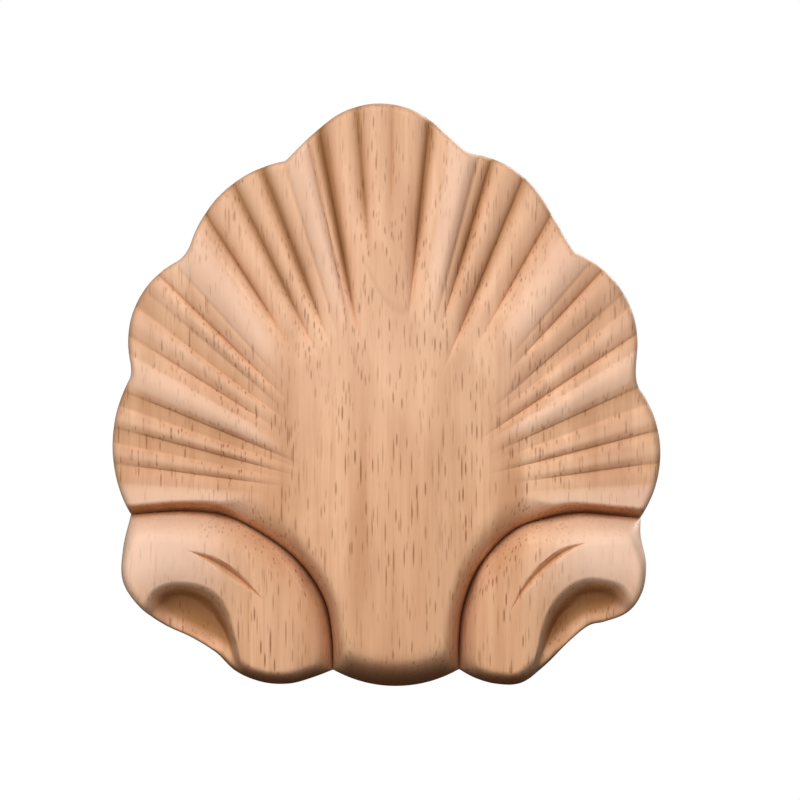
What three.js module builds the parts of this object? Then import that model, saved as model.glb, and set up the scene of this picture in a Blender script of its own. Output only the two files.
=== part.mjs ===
import * as THREE from 'three';
import { mergeVertices } from 'three/addons/utils/BufferGeometryUtils.js';

// Carved wooden shell applique, in millimetres: X to the right, Z up, the flat back on the
// plane y = 0 and the carving rising toward -Y. The origin is the middle of the back.

// Pole that all flutes of the fan run to
const FAN_X = 0.44;
const FAN_Z = -17.0;

// The seven lobes of the rim as arcs: direction of the centre in degrees from straight up,
// its distance from the pole, and the radius
const LOBES = [
  [-69.0, 24.28, 22.36],
  [-47.6, 38.14, 14.36],
  [-21.2, 38.61, 19.13],
  [-1.8, 50.66, 13.63],
  [16.0, 42.26, 15.52],
  [44.2, 35.43, 15.56],
  [74.1, 27.13, 17.86],
];
// Width of the rounded notch after each lobe but the last
const NOTCHES = [1.7, 2.5, 7.3, 5.4, 9.0, 3.7];

// Foot of the stem: an arc that shows between the scrolls
const FOOT_X = 1.4;
const FOOT_BOTTOM = -47.5;
const FOOT_RADIUS = 20.7;

// Flute lines around the pole: angle in degrees, depth as a share of the full depth, and
// how far out toward the rim the line starts. Ridges have a small share, valleys a large one.
const LINES = [
  [-90.5, 0.15, 0.4], [-86.5, 0.5, 0.4], [-82.6, 0.9, 0.37], [-80.4, 0.4, 0.37],
  [-78.3, 0.85, 0.35], [-75.4, 1.0, 0.33], [-73.3, 0.4, 0.33], [-70.8, 0.9, 0.31],
  [-67.9, 1.0, 0.31], [-63.8, 0.0, 0.35],
  [-60.6, 0.5, 0.4], [-57.8, 0.9, 0.4], [-54.7, 0.4, 0.39], [-52.6, 0.95, 0.39],
  [-49.5, 0.85, 0.41], [-47.5, 0.45, 0.42], [-45.8, 1.0, 0.42], [-42.5, 0.45, 0.43],
  [-39.0, 0.0, 0.45],
  [-35.4, 0.35, 0.47], [-32.9, 1.0, 0.47], [-29.6, 0.5, 0.45], [-26.4, 1.0, 0.42],
  [-23.7, 0.55, 0.42], [-21.1, 1.0, 0.41], [-17.6, 0.4, 0.41], [-14.6, 0.0, 0.41],
  [-12.6, 0.5, 0.39], [-10.8, 1.0, 0.37], [-7.6, 0.4, 0.43], [-4.8, 0.8, 0.5],
  [-2.1, 0.4, 0.53], [0.4, 0.65, 0.55], [3.2, 0.35, 0.5], [6.0, 1.0, 0.43],
  [9.0, 0.4, 0.43], [12.4, 0.0, 0.43],
  [14.6, 0.5, 0.43], [16.7, 1.0, 0.43], [19.4, 0.45, 0.41], [22.6, 1.0, 0.39],
  [26.2, 0.5, 0.45], [29.6, 0.95, 0.48], [33.0, 0.35, 0.48], [37.0, 0.0, 0.49],
  [40.3, 0.5, 0.49], [42.9, 1.0, 0.49], [45.0, 0.45, 0.45], [48.6, 0.95, 0.41],
  [51.3, 0.8, 0.4], [53.2, 0.4, 0.37], [56.2, 0.95, 0.35], [58.8, 0.45, 0.35],
  [61.2, 0.0, 0.35],
  [65.7, 1.0, 0.35], [69.6, 0.85, 0.35], [73.2, 0.4, 0.35], [75.6, 1.0, 0.35],
  [79.8, 0.4, 0.39], [82.2, 0.95, 0.41], [86.5, 0.5, 0.41], [90.8, 0.15, 0.41],
];
// Full depth of the flutes by angle
const FLUTE_DEPTH = [
  [-90, 1.3], [-66, 1.4], [-62, 1.7], [-40, 2.1], [-36, 3.4], [12, 3.2], [32, 3.4], [40, 2.1],
  [60, 1.6], [66, 1.3],
];
// Sharpness of the valleys between the round beads: 0 is a soft wave, 1 a quarter circle
const FLUTE_SHARPNESS = 0.3;
const FLUTE_RUN_IN = 0.3;
const FLUTE_FADE_AT_RIM = 0.35;

// Heights above the back, at the pole and at the foot of the dome around it
const HUB_HEIGHT = 15.2;
const HUB_FALL_POWER = 1.7;
// Distance from the pole and height of the foot of the dome, by angle from straight up
const DOME_REACH = [[0, 65], [35, 54], [60, 47], [95, 43], [140, 32], [180, 30.5]];
const DOME_EDGE = [[0, 8.6], [45, 8.0], [93, 8.2], [112, 10.5], [145, 13.2], [180, 13.6]];
// The smooth column that runs down the middle
const COLUMN_RISE = 1.2;
const COLUMN_X = -2.3;
const COLUMN_HALF_WIDTH = 17.0;
const COLUMN_TOP = 12.0;
const COLUMN_FADE = 22.0;

// Edge roundings: width of the rounding, and what is left of the height at the edge
const RIM_ROUND = 1.3;
const RIM_DROP = 1.5;
const FOOT_ROUND = 5.6;
const FOOT_EDGE_HEIGHT = 2.6;
// By distance from the middle of the shell: the width of the wall above a crease, and the
// height of the crease above the back. The wall is a soft bevel under the fan, and a
// round beside the stem.
const CREASE_ROUND = [[9, 2.6], [12.5, 3.2], [18, 5.0], [21, 4.8], [28, 2.2], [34, 1.8]];
const CREASE_HEIGHT = [[9, 4.0], [12, 4.8], [17, 7.3], [21, 7.1], [29, 5.4], [36, 5.0]];
const BEVEL_FROM = 30;
const ROUND_FROM = 20;

// Creases between the scrolls and the fan and stem, as smooth curves through x, z points from
// the notch in the rim to the foot
const CREASE_LEFT = [
  [-41.6, -19.5], [-37.2, -19.1], [-32.5, -18.9], [-26.1, -19.7], [-19.8, -22.8],
  [-14.2, -27.2], [-10.1, -33.5], [-8.9, -39.7], [-8.8, -44.8],
];
const CREASE_RIGHT = [
  [41.2, -20.0], [36.9, -19.6], [31.3, -19.2], [26.5, -19.9], [20.8, -21.8],
  [15.2, -27.5], [12.3, -34.7], [11.7, -39.9], [11.7, -44.7],
];
// Share of a crease's length that lies under the fan
const CREASE_CORNER = 0.36;

// Outer edge of each scroll, from the notch under the fan round to the foot
const EDGE_LEFT = [
  [-41.6, -19.5], [-42.7, -24.9], [-42.7, -30.1], [-40.1, -34.2], [-36.2, -37.3],
  [-31.7, -39.4], [-27.9, -41.7], [-24.5, -44.9], [-20.3, -46.7], [-15.8, -47.0],
  [-11.7, -45.9], [-8.8, -44.8],
];
const EDGE_RIGHT = [
  [41.2, -20.0], [41.1, -22.7], [41.9, -27.5], [41.3, -31.8], [39.0, -35.2],
  [35.2, -36.9], [33.0, -37.4], [29.7, -39.9], [25.7, -43.9], [21.6, -46.9],
  [17.5, -47.0], [14.1, -46.0], [11.7, -44.7],
];
// Middle of the columns of each scroll, on the floor of its hollow; directions in a scroll are
// degrees around it, 0 toward the stem and 90 upward
const POLE_LEFT = [-30.4, -35.3];
const POLE_RIGHT = [30.9, -35.0];
const LOWEST_TURN = -75;

// Rim of the hollow of each scroll, carried on past the outer edge at both ends
const RIM_LEFT = [
  [-43.0, -38.5], [-40.4, -34.4], [-38.4, -31.6], [-35.6, -30.2], [-32.4, -30.0],
  [-29.4, -30.6], [-26.9, -32.2], [-25.2, -35.0], [-24.4, -38.2], [-23.7, -41.3],
  [-23.1, -44.6], [-22.6, -49.0],
];
const RIM_RIGHT = [
  [44.5, -38.5], [41.3, -34.2], [38.6, -30.7], [35.6, -29.6], [32.6, -29.3],
  [29.8, -30.2], [27.2, -32.4], [25.4, -35.4], [24.5, -38.6], [23.9, -41.6],
  [23.1, -44.8], [22.4, -49.0],
];
// Line of the cut along each roll, carried on in the same way; the cut itself is between
// two distances from the middle of the shell
const CUT_LEFT = [
  [-46.5, -27.8], [-41.0, -25.4], [-36.4, -24.7], [-32.3, -25.2], [-28.5, -26.6],
  [-25.0, -28.7], [-22.3, -30.9], [-20.0, -33.2], [-18.2, -36.6], [-17.3, -41.0],
  [-17.0, -46.0], [-17.0, -50.0],
];
const CUT_RIGHT = [
  [46.5, -26.8], [41.0, -24.4], [36.2, -23.6], [31.6, -24.1], [28.3, -25.5],
  [24.8, -28.3], [22.2, -31.2], [20.1, -34.8], [19.0, -38.4], [18.6, -42.0],
  [18.4, -46.0], [18.4, -50.0],
];
const CUT_NEAR = 19.8;
const CUT_FAR = 32.2;
const CUT_HALF_WIDTH = 0.8;
const CUT_DEPTH = 1.3;

// Roll of a scroll: its height along the crest, how far out from the rim the crest is, how
// far it falls to the rim, and how far it falls over the span on the other side
const ROLL_HEIGHT = 13.8;
const ROLL_CREST = 4.5;
const ROLL_INNER_FALL = 0.8;
const ROLL_OUTER_SPAN = 11.0;
const ROLL_OUTER_FALL = 3.4;

// Hollow of a scroll: its depth and the width of its wall; it is shallower at its outer end
// and at the bottom, and its floor rises to a lip at the outer edge
const HOLLOW_DEPTH = 7.4;
const HOLLOW_WALL = 3.6;
const HOLLOW_FAR_END = 41.0;
const HOLLOW_FAR_FULL = 34.5;
const HOLLOW_FAR_SHARE = 0.4;
const HOLLOW_LOW_END = -44.5;
const HOLLOW_LOW_FULL = -37.0;
const HOLLOW_LOW_SHARE = 0.5;
const LIP_HEIGHT = 1.8;
const LIP_WIDTH = 4.5;

// By direction around a scroll: the share of the height left at its outer edge, the width of
// the rounding there, and the width of the rounding down to the crease
const SCROLL_EDGE_HEIGHT = [
  [-75, 0.82], [-60, 0.6], [-50, 0.36], [-20, 0.35], [125, 0.6], [150, 0.78], [172, 0.85],
  [285, 0.82],
];
const SCROLL_ROUND = [[-75, 1.2], [-55, 2.6], [-20, 2.8], [125, 2.2], [150, 1.6], [285, 1.2]];
const SCROLL_CREASE_ROUND = [[-24, 3.4], [10, 3.8], [45, 4.6], [90, 6.0], [125, 4.6]];

// How the surface is divided: rings from the pole to the waist of the fan, from there to the
// rim, and over the rounding of an edge; then columns
const WAIST_TOP = 30;
const WAIST_FROM = 20;
const WAIST_TO = 88;
const INNER_RINGS = 8;
const OUTER_RINGS = 7;
const STEM_RINGS = [0.2, 0.4, 0.6, 0.8, 1.0];
const HALVINGS = 24;
const EDGE_RINGS = [0.45, 0.12, 0.0];
const WIDEST_STEP = 2.3;
const WALL_SHARES = [0.3, 0.55, 0.75, 0.9];
const STEM_COLUMNS = 14;
const FOOT_COLUMNS = 9;
const SCROLL_COLUMNS = 32;
const HOLLOW_RINGS = [1.0, 0.6, 0.25];
const SCROLL_RING_COUNT = 13;
const NARROWEST_RING = 1 / 30;

const DEGREE = Math.PI / 180;

function smoothStep(from, to, value) {
  const u = Math.min(Math.max((value - from) / (to - from), 0), 1);
  return u * u * (3 - 2 * u);
}

// Smooth value between the pairs of a table of position and value
function tableValue(table, position) {
  if (position <= table[0][0]) return table[0][1];
  for (let k = 1; k < table.length; k += 1) {
    if (position <= table[k][0]) {
      const share = smoothStep(table[k - 1][0], table[k][0], position);
      return table[k - 1][1] + share * (table[k][1] - table[k - 1][1]);
    }
  }
  return table[table.length - 1][1];
}

// Quarter round: 0 at the edge, 1 at the full width away from it
function quarterRound(distance, width) {
  const u = 1 - Math.min(Math.max(distance / width, 0), 1);
  return Math.sqrt(1 - u * u);
}

// Distance along a ray from the pole to the far side of a circle, given by its centre in
// polar form; a ray that passes beside the circle gives a value that falls off
function rayToCircle(angle, centreAngle, centreDistance, radius) {
  const turn = (angle - centreAngle) * DEGREE;
  const along = centreDistance * Math.cos(turn);
  const across = centreDistance * Math.sin(turn);
  const square = radius * radius - across * across;
  return along + (square > 0 ? Math.sqrt(square) : -Math.sqrt(-square));
}

function joinSmooth(a, b, width) {
  const lap = Math.max(width - Math.abs(a - b), 0) / width;
  return Math.max(a, b) + lap * lap * width / 4;
}

// Distance from the pole to the rim of the fan
function rimReach(angle) {
  let reach = rayToCircle(angle, ...LOBES[0]);
  for (let k = 1; k < LOBES.length; k += 1) {
    reach = joinSmooth(reach, rayToCircle(angle, ...LOBES[k]), NOTCHES[k - 1]);
  }
  return reach;
}

function curveThrough(knots) {
  const points = knots.map(([x, z]) => new THREE.Vector3(x, 0, z));
  return new THREE.CatmullRomCurve3(points, false, 'centripetal');
}

// Points as x, z pairs at even steps along part of a curve
function curvePart(curve, from, to, count) {
  return Array.from({ length: count + 1 }, (_, k) => {
    const point = curve.getPointAt(from + (to - from) * k / count);
    return [point.x, point.z];
  });
}

function distanceTo(points, x, z) {
  let best = Infinity;
  for (let k = 1; k < points.length; k += 1) {
    const [ax, az] = points[k - 1];
    const dx = points[k][0] - ax;
    const dz = points[k][1] - az;
    const share = ((x - ax) * dx + (z - az) * dz) / (dx * dx + dz * dz);
    const on = Math.min(Math.max(share, 0), 1);
    best = Math.min(best, Math.hypot(x - ax - on * dx, z - az - on * dz));
  }
  return best;
}

const CURVE_STEPS = 80;
const creases = {
  left: curveThrough(CREASE_LEFT),
  right: curveThrough(CREASE_RIGHT),
};
const creasePoints = {
  left: curvePart(creases.left, 0, 1, CURVE_STEPS),
  right: curvePart(creases.right, 0, 1, CURVE_STEPS),
};

function fanPoint(angle, reach) {
  return [FAN_X + reach * Math.sin(angle * DEGREE), FAN_Z + reach * Math.cos(angle * DEGREE)];
}

// Point of the fan or stem as x, y, z; depth and start are those of the flute it lies in
function fanVertex([x, z], depth, start) {
  const angle = Math.atan2(x - FAN_X, z - FAN_Z) / DEGREE;
  const reach = Math.hypot(x - FAN_X, z - FAN_Z);
  const out = reach / tableValue(DOME_REACH, Math.abs(angle));
  const edge = tableValue(DOME_EDGE, Math.abs(angle));
  let height = edge + (HUB_HEIGHT - edge) * (1 - out ** HUB_FALL_POWER);
  const column = 1 - smoothStep(0.45, 1, Math.abs(x - COLUMN_X) / COLUMN_HALF_WIDTH);
  height += COLUMN_RISE * column * (1 - smoothStep(COLUMN_TOP - COLUMN_FADE, COLUMN_TOP, z));

  const runIn = smoothStep(start, start + FLUTE_RUN_IN, out);
  const fade = 1 - FLUTE_FADE_AT_RIM * smoothStep(0.86, 1, out);
  height -= tableValue(FLUTE_DEPTH, angle) * depth * runIn * fade;

  if (Math.abs(angle) < 95) {
    height -= RIM_DROP * (1 - quarterRound(rimReach(angle) - reach, RIM_ROUND));
  }
  const footZ = FOOT_BOTTOM + FOOT_RADIUS;
  if (z < footZ) {
    const round = quarterRound(FOOT_RADIUS - Math.hypot(x - FOOT_X, z - footZ), FOOT_ROUND);
    height = FOOT_EDGE_HEIGHT + (height - FOOT_EDGE_HEIGHT) * round;
  }
  const crease = angle < 0 ? creasePoints.left : creasePoints.right;
  const floor = Math.min(tableValue(CREASE_HEIGHT, Math.abs(x)), height);
  const away = Math.min(distanceTo(crease, x, z) / tableValue(CREASE_ROUND, Math.abs(x)), 1);
  const bevel = away * (3 - away * away) / 2;
  const round = bevel
    + (quarterRound(away, 1) - bevel) * smoothStep(BEVEL_FROM, ROUND_FROM, Math.abs(x));
  return [x, -floor - (height - floor) * round, z];
}

// Rise that is steep at first and level at the end
function steepRise(u) {
  const soft = Math.sin(u * Math.PI / 2);
  return soft + FLUTE_SHARPNESS * (quarterRound(u, 1) - soft);
}

// Columns of the fan from left to right: angle, depth share and start of the flute
function fluteColumns() {
  const columns = [];
  for (let k = 0; k + 1 < LINES.length; k += 1) {
    const [angleA, depthA, startA] = LINES[k];
    const [angleB, depthB, startB] = LINES[k + 1];
    const steps = Math.ceil((angleB - angleA) / WIDEST_STEP);
    for (let n = 0; n < steps; n += 1) {
      const u = n / steps;
      const share = depthA > depthB ? steepRise(u) : 1 - steepRise(1 - u);
      columns.push([
        angleA + u * (angleB - angleA),
        depthA + share * (depthB - depthA),
        startA + u * (startB - startA),
      ]);
    }
  }
  columns.push(LINES[LINES.length - 1]);
  return columns;
}

// Outward x, z points of one column of the fan, from its first ring to the rim
function fluteColumn(angle, waist) {
  const whole = rimReach(angle);
  const inner = Array.from({ length: INNER_RINGS }, (_, k) => waist * (k + 1) / INNER_RINGS);
  const body = whole - RIM_ROUND - waist;
  const outer = Array.from({ length: OUTER_RINGS }, (_, k) => (
    waist + body * (k + 1) / OUTER_RINGS
  ));
  const edge = EDGE_RINGS.map((share) => whole - share * RIM_ROUND);
  return [...inner, ...outer, ...edge].map((reach) => fanPoint(angle, reach));
}

// Straight column from the pole to a point on a crease or on the foot; its last rings follow
// the rounding down to the crease, at shares of the width of the rounding away from it
function stemColumn(end, crease) {
  const whole = Math.hypot(end[0] - FAN_X, end[1] - FAN_Z);
  const at = (reach) => [
    FAN_X + (end[0] - FAN_X) * reach / whole,
    FAN_Z + (end[1] - FAN_Z) * reach / whole,
  ];
  const width = tableValue(CREASE_ROUND, Math.abs(end[0]));
  const beside = (away) => {
    let near = 0;
    let far = whole;
    for (let n = 0; n < HALVINGS; n += 1) {
      const middle = (near + far) / 2;
      if (distanceTo(crease, ...at(middle)) > away) near = middle;
      else far = middle;
    }
    return far;
  };
  const body = beside(width);
  return [
    ...STEM_RINGS.map((share) => share * body),
    ...EDGE_RINGS.map((share) => beside(share * width)),
  ].map(at);
}

// Straight column to a point on the foot, with its last rings over the rounding of the foot
function footColumn([endX, endZ]) {
  const whole = Math.hypot(endX - FAN_X, endZ - FAN_Z);
  const body = whole - FOOT_ROUND;
  const reaches = [
    ...STEM_RINGS.map((share) => share * body),
    ...EDGE_RINGS.map((share) => whole - share * FOOT_ROUND),
  ];
  return reaches.map((reach) => [
    FAN_X + (endX - FAN_X) * reach / whole,
    FAN_Z + (endZ - FAN_Z) * reach / whole,
  ]);
}

// The column that ends the fan: straight to the corner of the crease, then along the crease
// to the notch, with the same number of points as a flute's column
function creaseColumn(side) {
  const count = OUTER_RINGS + EDGE_RINGS.length;
  return [
    ...stemColumn(corner[side], creasePoints[side]),
    ...curvePart(creases[side], CREASE_CORNER, 0, count).slice(1),
  ];
}

function mixColumns(a, b, share) {
  return a.map(([x, z], k) => [x + share * (b[k][0] - x), z + share * (b[k][1] - z)]);
}

// Triangles are collected as corner points and joined at the end
const corners = [];

function addTriangle(a, b, c) {
  corners.push(...a, ...b, ...c);
}

// Surface between two columns of points that run outward, the second one clockwise of the
// first as seen from the front
function addStrip(first, second) {
  for (let k = 1; k < first.length; k += 1) {
    addTriangle(first[k - 1], second[k], first[k]);
    addTriangle(first[k - 1], second[k - 1], second[k]);
  }
}

const corner = {
  left: curvePart(creases.left, CREASE_CORNER, CREASE_CORNER, 1)[0],
  right: curvePart(creases.right, CREASE_CORNER, CREASE_CORNER, 1)[0],
};
const cornerReach = {
  left: Math.hypot(corner.left[0] - FAN_X, corner.left[1] - FAN_Z),
  right: Math.hypot(corner.right[0] - FAN_X, corner.right[1] - FAN_Z),
};

function makeFan() {
  const flutes = fluteColumns().map(([angle, depth, start]) => {
    const low = angle < 0 ? cornerReach.left : cornerReach.right;
    const waist = WAIST_TOP + (low - WAIST_TOP) * smoothStep(WAIST_FROM, WAIST_TO, Math.abs(angle));
    return { points: fluteColumn(angle, waist), depth, start };
  });
  const ends = {
    left: { points: creaseColumn('left'), depth: 0, start: 1 },
    right: { points: creaseColumn('right'), depth: 0, start: 1 },
  };
  const wall = (flute, end) => WALL_SHARES.map((share) => ({
    points: mixColumns(flute.points, end.points, share),
    depth: flute.depth * (1 - share),
    start: flute.start,
  }));
  const fan = [
    ends.left,
    ...wall(flutes[0], ends.left).reverse(),
    ...flutes,
    ...wall(flutes[flutes.length - 1], ends.right),
    ends.right,
  ].map(({ points, depth, start }) => points.map((point) => fanVertex(point, depth, start)));

  const stem = (crease) => curvePart(crease, CREASE_CORNER, 1, STEM_COLUMNS).slice(1);
  const stemEnds = { left: stem(creases.left), right: stem(creases.right) };
  const footZ = FOOT_BOTTOM + FOOT_RADIUS;
  const footFrom = stemEnds.right[STEM_COLUMNS - 1][0];
  const footTo = stemEnds.left[STEM_COLUMNS - 1][0];
  const foot = Array.from({ length: FOOT_COLUMNS }, (_, k) => {
    const x = footFrom + (footTo - footFrom) * (k + 1) / (FOOT_COLUMNS + 1);
    return [x, footZ - Math.sqrt(FOOT_RADIUS ** 2 - (x - FOOT_X) ** 2)];
  });
  const lower = [
    ...stemEnds.right.map((end) => stemColumn(end, creasePoints.right)),
    ...foot.map(footColumn),
    ...stemEnds.left.reverse().map((end) => stemColumn(end, creasePoints.left)),
  ].map((column) => column.map((point) => fanVertex(point, 0, 1)));

  const pole = fanVertex([FAN_X, FAN_Z], 0, 1);
  const whole = fan.map((column) => [pole, ...column]);
  const loop = [...whole, ...lower.map((column) => [pole, ...column])];
  for (let k = 1; k < whole.length; k += 1) {
    addStrip(whole[k - 1].slice(INNER_RINGS), whole[k].slice(INNER_RINGS));
  }
  loop.forEach((column, k) => {
    const first = column.slice(1, INNER_RINGS + 1);
    const second = loop[(k + 1) % loop.length].slice(1, INNER_RINGS + 1);
    addTriangle(pole, second[0], first[0]);
    addStrip(first, second);
  });

  const outerPart = (column) => column.slice(INNER_RINGS - 1);
  const lowerEnds = lower.map((column) => column[column.length - 1]);
  return {
    rim: fan.map((column) => column[column.length - 1]),
    foot: lowerEnds.slice(STEM_COLUMNS - 1, STEM_COLUMNS + FOOT_COLUMNS + 1),
    creaseRight: [
      ...outerPart(fan[fan.length - 1]).reverse(),
      ...lowerEnds.slice(0, STEM_COLUMNS),
    ],
    creaseLeft: [
      ...lowerEnds.slice(STEM_COLUMNS + FOOT_COLUMNS),
      ...outerPart(fan[0]),
    ],
  };
}

// Direction and distance of a point from the pole of a scroll
function polar([x, z], [poleX, poleZ], side) {
  const across = (x - poleX) * -side;
  const turn = Math.atan2(z - poleZ, across) / DEGREE;
  return [turn < LOWEST_TURN ? turn + 360 : turn, Math.hypot(across, z - poleZ)];
}

// A line through knots as directions and distances, in order of direction
function polarLine(knots, pole, side) {
  const points = curvePart(curveThrough(knots), 0, 1, CURVE_STEPS);
  return points.map((point) => polar(point, pole, side)).reverse();
}

function reachOf(line, turn) {
  const next = line.findIndex(([at]) => at >= turn);
  if (next === 0) return line[0][1];
  if (next < 0) return line[line.length - 1][1];
  const [[fromTurn, from], [toTurn, to]] = line.slice(next - 1, next + 1);
  return from + (to - from) * (turn - fromTurn) / (toTurn - fromTurn);
}

// Point of a scroll as x, y, z
function scrollVertex([x, z], scroll) {
  const [turn, reach] = polar([x, z], scroll.pole, scroll.side);
  const toEdge = distanceTo(scroll.edgeLine, x, z);
  const beyondRim = reach - reachOf(scroll.rim, turn);

  const fromCrest = Math.max(beyondRim, 0) - ROLL_CREST;
  let height = fromCrest < 0
    ? ROLL_HEIGHT - ROLL_INNER_FALL * (fromCrest / ROLL_CREST) ** 2
    : ROLL_HEIGHT - ROLL_OUTER_FALL * (fromCrest / ROLL_OUTER_SPAN) ** 2;

  const farShare = HOLLOW_FAR_SHARE
    + (1 - HOLLOW_FAR_SHARE) * smoothStep(HOLLOW_FAR_END, HOLLOW_FAR_FULL, Math.abs(x));
  const lowShare = HOLLOW_LOW_SHARE
    + (1 - HOLLOW_LOW_SHARE) * smoothStep(HOLLOW_LOW_END, HOLLOW_LOW_FULL, z);
  const lip = LIP_HEIGHT * smoothStep(LIP_WIDTH, 0, toEdge);
  const inside = smoothStep(0, HOLLOW_WALL, -beyondRim);
  height -= (HOLLOW_DEPTH * farShare * lowShare - lip) * inside;

  const along = (Math.abs(x) - CUT_NEAR) / (CUT_FAR - CUT_NEAR);
  if (along > 0 && along < 1) {
    const taper = Math.sin(along * Math.PI);
    const off = Math.abs(reach - reachOf(scroll.cut, turn)) / (CUT_HALF_WIDTH * taper);
    height -= CUT_DEPTH * taper * Math.max(1 - off, 0);
  }

  const left = tableValue(SCROLL_EDGE_HEIGHT, turn);
  height *= left + (1 - left) * quarterRound(toEdge, tableValue(SCROLL_ROUND, turn));
  const floor = Math.min(height, tableValue(CREASE_HEIGHT, Math.abs(x)));
  const width = tableValue(SCROLL_CREASE_ROUND, turn);
  const round = quarterRound(distanceTo(scroll.creaseLine, x, z), width);
  return [x, -floor - (height - floor) * round, z];
}

// Distances from the pole to the rings of one column: the wall of the hollow, its rim, both
// sides of the cut, and the rounding; the rings close up where the outer edge comes first
function scrollRings(turn, whole, scroll) {
  const rim = reachOf(scroll.rim, turn);
  const cut = reachOf(scroll.cut, turn);
  const wall = HOLLOW_RINGS.map((share) => rim - share * HOLLOW_WALL);
  const beyond = cut + CUT_HALF_WIDTH;
  const width = Math.min(tableValue(SCROLL_CREASE_ROUND, turn), 0.7 * (whole - beyond));
  const body = whole - width;
  const rings = [
    wall[0] / 2, ...wall, rim, (rim + cut - CUT_HALF_WIDTH) / 2,
    cut - CUT_HALF_WIDTH, cut, beyond, (beyond + body) / 2, body,
    ...EDGE_RINGS.slice(0, -1).map((share) => whole - share * width),
  ];
  return rings.map((ring, k) => (
    Math.min(ring, whole * (1 - (SCROLL_RING_COUNT - k) * NARROWEST_RING))
  ));
}

// One scroll between its crease, given as clockwise vertices, and its outer edge; returns
// the vertices of the outer edge, clockwise with the shared ends
function makeScroll(knots, crease, pole, rimKnots, cutKnots, side) {
  const edgeLine = curvePart(curveThrough(knots), 0, 1, SCROLL_COLUMNS);
  const scroll = {
    pole,
    side,
    edgeLine,
    creaseLine: crease.map(([x, , z]) => [x, z]),
    rim: polarLine(rimKnots, pole, side),
    cut: polarLine(cutKnots, pole, side),
  };
  const free = edgeLine.slice(1, -1).map((point) => scrollVertex(point, scroll));
  if (side < 0) free.reverse();
  // The crease runs clockwise around the stem, so it is turned to run around the scroll
  const around = [...free, ...[...crease].reverse()];
  const columns = around.map((end) => {
    const [turn, whole] = polar([end[0], end[2]], pole, side);
    return [
      ...scrollRings(turn, whole, scroll).map((ring) => scrollVertex([
        pole[0] + (end[0] - pole[0]) * ring / whole,
        pole[1] + (end[2] - pole[1]) * ring / whole,
      ], scroll)),
      end,
    ];
  });
  const middle = scrollVertex(pole, scroll);
  columns.forEach((column, k) => {
    const next = columns[(k + 1) % columns.length];
    addTriangle(middle, next[0], column[0]);
    addStrip(column, next);
  });
  return [crease[0], ...free, crease[crease.length - 1]];
}

const fan = makeFan();
const rightEdge = makeScroll(EDGE_RIGHT, fan.creaseRight, POLE_RIGHT, RIM_RIGHT, CUT_RIGHT, 1);
const leftEdge = makeScroll(EDGE_LEFT, fan.creaseLeft, POLE_LEFT, RIM_LEFT, CUT_LEFT, -1);

// Upright edge all around, and the flat back
const outline = [
  ...fan.rim.slice(0, -1), ...rightEdge.slice(0, -1),
  ...fan.foot.slice(0, -1), ...leftEdge.slice(0, -1),
];
const backMiddle = [FAN_X, 0, FAN_Z];
outline.forEach((a, k) => {
  const b = outline[(k + 1) % outline.length];
  const aBack = [a[0], 0, a[2]];
  const bBack = [b[0], 0, b[2]];
  addStrip([a, aBack], [b, bBack]);
  addTriangle(backMiddle, aBack, bBack);
});

const soup = new THREE.BufferGeometry();
soup.setAttribute('position', new THREE.Float32BufferAttribute(corners, 3));
const geometry = mergeVertices(soup, 1e-4);
geometry.computeVertexNormals();

const shell = new THREE.Mesh(geometry, new THREE.MeshStandardMaterial({
  name: 'hardwood',
  color: 0xe0b394,
  roughness: 0.62,
  metalness: 0.0,
}));
shell.name = 'shell_applique';

const root = new THREE.Group();
root.name = 'embossed_applique';
root.add(shell);
export default root;
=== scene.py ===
import math

import bpy
import numpy as np
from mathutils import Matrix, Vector


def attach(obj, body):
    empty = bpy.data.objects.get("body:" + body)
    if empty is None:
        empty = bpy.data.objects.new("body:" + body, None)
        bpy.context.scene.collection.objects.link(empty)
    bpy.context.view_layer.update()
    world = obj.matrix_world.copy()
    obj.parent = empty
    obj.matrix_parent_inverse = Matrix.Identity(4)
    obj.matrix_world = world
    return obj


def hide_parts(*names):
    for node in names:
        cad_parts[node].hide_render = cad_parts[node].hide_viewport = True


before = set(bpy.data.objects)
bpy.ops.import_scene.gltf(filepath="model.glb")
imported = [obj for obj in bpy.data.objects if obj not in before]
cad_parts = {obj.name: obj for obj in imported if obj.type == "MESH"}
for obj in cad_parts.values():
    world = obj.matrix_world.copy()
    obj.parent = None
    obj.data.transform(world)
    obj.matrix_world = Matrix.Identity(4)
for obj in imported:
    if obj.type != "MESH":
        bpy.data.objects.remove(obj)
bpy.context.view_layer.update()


# The shell itself: one board of open-pored hardwood, carved on its face with a fan of seven
# lobes, a smooth stem and a scroll at each side. Its back is flat, to be glued to a panel.
# Sizes are in millimetres: x to the right, z up, and heights toward the front of the back.

# Pole of the fan, and its lobes: angle and distance of the centre from the pole, and radius.
# Angles are in degrees from upright. A notch is the width over which two lobes blend.
FAN = (0.44, -17.0)
LOBES = [(-69.0, 24.28, 22.36), (-47.6, 38.14, 14.36), (-21.2, 38.61, 19.13),
         (-1.8, 50.66, 13.63), (16.0, 42.26, 15.52), (44.2, 35.43, 15.56),
         (74.1, 27.13, 17.86)]
NOTCHES = [1.7, 2.5, 7.3, 5.4, 9.0, 3.7]
FOOT_X, FOOT_BOTTOM, FOOT_RADIUS = 1.4, -47.5, 20.7

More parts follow.
